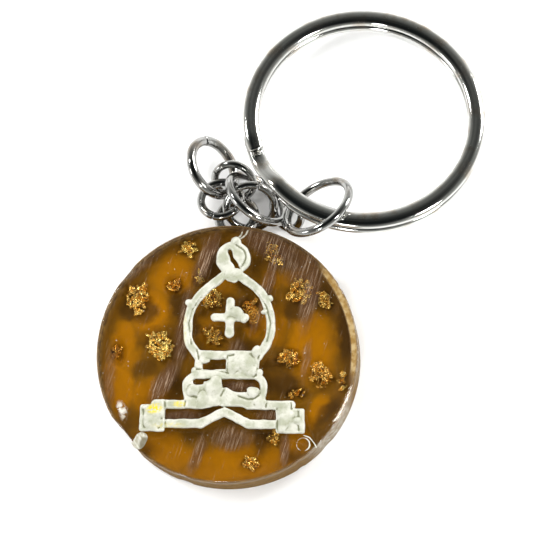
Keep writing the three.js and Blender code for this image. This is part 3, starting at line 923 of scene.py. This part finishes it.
def relief(flat, box, blobs=(), top=LINE_HIGH, seed=31, grooves=()):
    """flat(x, y) is a distance in the plane. Its slab between LINE_LOW and top, with shoulders
    rounded by SHOULDER, is melted with blobs: x, y, height of centre, radius, half height.
    Grooves are lines pressed into it. Gives points, faces and how the skin bends at each point."""
    left, right, bottom, high = box
    x = np.arange(left, right, PITCH)[:, None]
    y = np.arange(bottom, high, PITCH)[None, :]
    z = np.arange(LINE_LOW - 2 * LIFT, DISC_TOP + 1.2, LIFT)
    x, y = np.broadcast_arrays(x, y)
    wobble = 0.05 * swell(x, y, seed, 9, 3.2) + 0.03 * swell(x, y, seed + 1, 9, 7.0)
    d = (flat(x, y) + wobble)[..., None]
    crown = (top + 0.05 * swell(x, y, seed + 2, 9, 2.6) + 0.03 * swell(x, y, seed + 3, 9, 8))[..., None]
    for line in grooves:
        crown = crown - GROOVE_DEPTH * np.exp(-(to_line(x, y, line, 0) / GROOVE_HALF) ** 2)[..., None]
    middle, half = (LINE_LOW + crown) / 2, (crown - LINE_LOW) / 2
    over_side, over_top = d + SHOULDER, np.abs(z - middle) - half + SHOULDER
    slab = (np.hypot(np.maximum(over_side, 0), np.maximum(over_top, 0))
            + np.minimum(np.maximum(over_side, over_top), 0) - SHOULDER)
    lumpy_x = x + 0.26 * swell(x, y, seed + 4, 9, 3.4)
    lumpy_y = y + 0.26 * swell(x, y, seed + 5, 9, 3.4)
    for bx, by, bz, radius, tall in blobs:
        flat_off, up_off = ((lumpy_x - bx) ** 2 + (lumpy_y - by) ** 2)[..., None], (z - bz) ** 2
        ball = np.sqrt(flat_off / radius ** 2 + up_off / tall ** 2)
        slope = np.sqrt(flat_off / radius ** 4 + up_off / tall ** 4) + 1e-9
        slab = melt(slab, (ball - 1) * ball / slope, BLOB_MELT)
    low = (left, bottom, z[0])
    points, faces = skin(slab, low, (PITCH, PITCH, LIFT))
    cell = np.rint((points - low) / (PITCH, PITCH, LIFT)).astype(int)
    bend = curving(slab)[tuple(cell.T)]
    c, s = math.cos(MOTIF_TURN), math.sin(MOTIF_TURN)
    turned = np.stack([points[:, 0] * c - points[:, 1] * s,
                       points[:, 0] * s + points[:, 1] * c, points[:, 2]], -1)
    return turned, faces, bend


def relief_piece(name, shape, material, stands_for):
    """A piece on the fob with its bending kept as a point attribute, which the shader reads."""
    points, faces, bend = shape
    made = piece(name, points, faces, "fob", "white_relief", material, [stands_for], sharp=80)
    made.data.attributes.new("bend", "FLOAT", "POINT").data.foreach_set("value", bend)


MITRE_LEFT = ((-0.3, 9.8), (-2.8, 7.7), (-4.35, 5.7), (-4.8, 3.5), (-4.6, 1.3), (-3.5, -0.4))
MITRE_RIGHT = ((1.1, 9.8), (3.6, 7.8), (4.8, 5.9), (5.3, 3.5), (5.0, 1.3), (3.9, -0.4))
UPPER_BASE = ((-8.4, -6.45), (-2.8, -6.45), (0, -4.9), (2.8, -6.45), (8.0, -6.45))
LOWER_BASE = ((-9.4, -8.8), (-3, -8.8), (0, -7.3), (3, -8.8), (8.9, -8.8))


def bishop(x, y):
    """The bishop's lines: head and knob, mitre, two collars, block, base lines and feet."""
    head = np.hypot(x - 0.5, y - 11.7) - 2.12
    slit = to_line(x, y, ((0.0, 12.6), (0.35, 11.6), (0.9, 10.9), (1.15, 10.2)), 0.5)
    slit = slit + 0.06 * swell(x, y, 41, 7, 6.0)
    lines = melted([
        np.maximum(head, -slit),
        np.hypot(x - 0.8, y - 13.8) - 0.6,
        to_line(x, y, smooth_line(MITRE_LEFT), STROKE),
        to_line(x, y, smooth_line(MITRE_RIGHT), STROKE),
        to_bar(x, y, -3.8, 4.3, -0.9, 0.2),
        to_bar(x, y, -3.8, -2.8, -2.6, -0.5),
        to_bar(x, y, 0.0, 4.0, -2.6, -0.5),
        to_bar(x, y, -3.7, 4.0, -3.3, -2.1),
        to_line(x, y, smooth_line(((-3.9, -2.9), (-4.8, -3.9), (-4.5, -5.9))), 0.9),
        to_line(x, y, smooth_line(((3.9, -2.9), (4.6, -3.9), (4.4, -5.9))), 0.9),
        to_bar(x, y, -4.9, -0.5, -6.6, -3.6),
        to_bar(x, y, -0.6, 4.8, -6.7, -4.9),
        to_line(x, y, UPPER_BASE, STROKE),
        to_line(x, y, LOWER_BASE, STROKE),
        to_bar(x, y, -10.3, -7.2, -9.8, -6.5),
        to_bar(x, y, 6.2, 9.7, -9.9, -6.8),
    ])
    notch = to_line(x, y, ((-3.7, -3.7), (-2.9, -3.75)), 0.5)
    chink = np.hypot(x + 7.9, y + 8.1) - 0.35
    return np.maximum(lines, -np.minimum(notch, chink))


POOLS = (
    (2.3, -1.4, 5.8, 1.35, 0.50), (1.0, -1.9, 5.8, 0.8, 0.46), (3.1, -2.2, 5.85, 0.8, 0.40),
    (3.7, 0.0, 5.9, 0.55, 0.42), (-2.6, -0.9, 5.8, 0.45, 0.36), (-1.6, -4.4, 5.8, 1.05, 0.50),
    (-1.2, -3.6, 5.9, 0.6, 0.36), (-3.9, -4.7, 5.85, 0.7, 0.42),
    (3.4, -4.9, 5.9, 0.75, 0.48), (-2.6, -5.9, 5.85, 1.0, 0.34), (4.3, -6.1, 5.85, 0.7, 0.36),
    (-8.9, -8.5, 5.75, 1.1, 0.46), (-8.1, -7.6, 5.8, 0.6, 0.36), (-9.7, -6.9, 5.8, 0.35, 0.42),
    (7.5, -8.3, 5.75, 1.15, 0.48), (7.9, -7.5, 5.85, 0.55, 0.34), (7.1, -9.1, 5.85, 0.5, 0.34),
    (8.9, -8.6, 5.85, 0.6, 0.42), (4.5, 5.1, 5.85, 0.38, 0.34), (5.3, 6.8, 5.8, 0.34, 0.3),
    (0.8, 13.8, 5.8, 0.62, 0.42), (0.1, -7.5, 5.8, 0.5, 0.3), (-4.0, -2.4, 5.8, 0.4, 0.3),
    (4.2, -2.6, 5.8, 0.45, 0.3), (-4.6, 6.0, 5.8, 0.45, 0.28), (0.5, 9.6, 5.8, 0.9, 0.34),
)
GROOVES = (
    smooth_line(((0.9, 13.3), (1.75, 12.7), (2.05, 11.8), (1.7, 10.9), (1.2, 10.4)), 12),
    ((-3.6, 0.25), (-3.3, -0.9), (-1.9, -0.95)), ((0.15, -2.5), (0.15, -0.5), (0.9, -0.35)),
    ((3.95, -0.4), (3.85, -2.6), (3.4, -3.1)), ((-3.7, -2.15), (-1.2, -2.2), (0.3, -2.6)),
    smooth_line(((-2.7, -3.6), (-3.9, -4.2), (-4.3, -5.2), (-3.2, -5.7)), 12),
    smooth_line(((3.0, -3.5), (3.9, -3.7), (4.1, -4.9), (3.2, -5.8), (1.6, -5.4)), 12),
    ((-0.2, -3.4), (-0.1, -4.6), (-0.5, -5.4)), ((-7.3, -6.0), (-7.1, -9.4)),
    ((-9.9, -7.1), (-9.7, -9.3), (-7.9, -9.4)), ((8.9, -7.1), (9.0, -9.5)), ((6.3, -6.9), (6.4, -9.7)),
    ((-4.8, -6.1), (-4.9, -6.8)), ((5.0, -6.0), (5.0, -6.8)), ((8.0, -6.0), (8.1, -6.9)),
    ((-4.3, 1.0), (-4.7, 3.5), (-4.2, 5.4), (-3.2, 6.8)), ((4.9, 1.4), (5.3, 3.6), (4.7, 5.7), (3.3, 7.6)),
)
relief_piece("bishop_relief", relief(bishop, (-11.2, 10.6, -10.7, 15.0), POOLS, grooves=GROOVES),
             white, "bishop_outline")


def cross(x, y):
    """A plain cross: an upright and an arm of the same width."""
    return melt(to_line(x, y, ((0.3, 2.35), (0.3, 6.25)), STROKE),
                to_line(x, y, ((-1.55, 4.3), (2.15, 4.3)), 1.0), 0.3)


relief_piece("cross_relief", relief(cross, (-2.8, 3.4, 1.1, 7.5), (
    (1.2, 4.9, 5.85, 0.7, 0.42), (1.9, 4.2, 5.85, 0.45, 0.36), (0.4, 3.8, 5.85, 0.5, 0.36)), seed=51),
    white, "bishop_cross")

# %% [markdown]
# Small leavings of the same white: a thin smear in the lower left corner, a fine ring with a
# tail in the lower right one and two threads drawn out above the knob. Threads are thin tubes,
# which a curve with a bevel would also give, but carried() above already makes them.

# %% Smear, ring and threads
SMEAR = ((-10.0, -10.6), (-10.35, -11.2))
TAIL = ((9.6, -10.05), (10.3, -10.3), (10.9, -11.0), (11.15, -11.5))


def thread(points, width, height=DISC_TOP + 0.02, steps=48, sides=10, taper=0.55):
    """A circle carried along a smooth line on the face, thinner towards both ends."""
    line = smooth_line(points, steps)
    path = np.column_stack([line, np.full(steps, height)])
    along = np.gradient(line, axis=0)
    along = along / np.linalg.norm(along, axis=1, keepdims=True)
    across = np.column_stack([-along[:, 1], along[:, 0], np.zeros(steps)])
    t = np.linspace(0, TURN, sides, endpoint=False)
    waver = 1 + 0.15 * swell(line[:, 0], line[:, 1], 61, 7, 8.0)
    size = (1 - taper * np.abs(np.linspace(-1, 1, steps)) ** 3) * waver * width / 2
    section = np.stack([np.cos(t), np.sin(t)], -1)[None] * size[:, None, None]
    return carried(path, across, np.broadcast_to((0.0, 0.0, 1.0), path.shape), section)


def smear(x, y):
    return to_line(x, y, SMEAR, 1.6)


def fine_ring(x, y):
    """A ring drawn with a thin line, which runs on into its tail."""
    hoop = np.abs(np.hypot(x - 9.55, y + 11.15) - 0.78) - 0.15
    return melt(hoop, to_line(x, y, TAIL, 0.3), 0.1)


relief_grey, g = new_material("thin_smear")
at = g.place()
streaky = g.noise(g.turned(at, sizes=(0.25, 1.0, 1), turn=20), 1.2, 3.0)
milky = g.mix(g.ease(streaky, 0.35, 0.65), (0.26, 0.235, 0.16, 1), (0.50, 0.49, 0.42, 1))
# Darker towards the middle of the smear.
darker_middle = patches(g, at, ((-9.95, -11.0, 0.7, 1.1, -20, 1.0),), 0.5)
g.surface(g.add("ShaderNodeBsdfPrincipled", None, {
    "Base Color": g.mix(darker_middle * 0.9, milky, (0.13, 0.115, 0.07, 1)),
    "Roughness": 0.3 + streaky * 0.2,
    "Normal": g.bump(streaky, 0.4, 0.1 * MM)}))
relief_piece("smear_left", relief(smear, (-11.8, -8.8, -12.6, -9.4), top=DISC_TOP + 0.22, seed=71),
             relief_grey, "corner_dot_left")
relief_piece("fine_ring_right", relief(fine_ring, (8.3, 11.6, -12.4, -9.6), top=DISC_TOP + 0.1, seed=73),
             white, "corner_ring_right")
for name, line, width in (
        ("thread_knob_1", ((1.0, 14.2), (1.6, 14.5), (1.9, 15.1)), 0.22),
        ("thread_knob_2", ((1.3, 14.0), (2.2, 14.6), (2.6, 15.3)), 0.2),
        ("thread_smear", ((-10.3, -11.2), (-11.0, -11.2), (-11.5, -10.9)), 0.3)):
    piece(name, *thread(line, width), "fob", "white_relief", relief_grey, [], sharp=80)
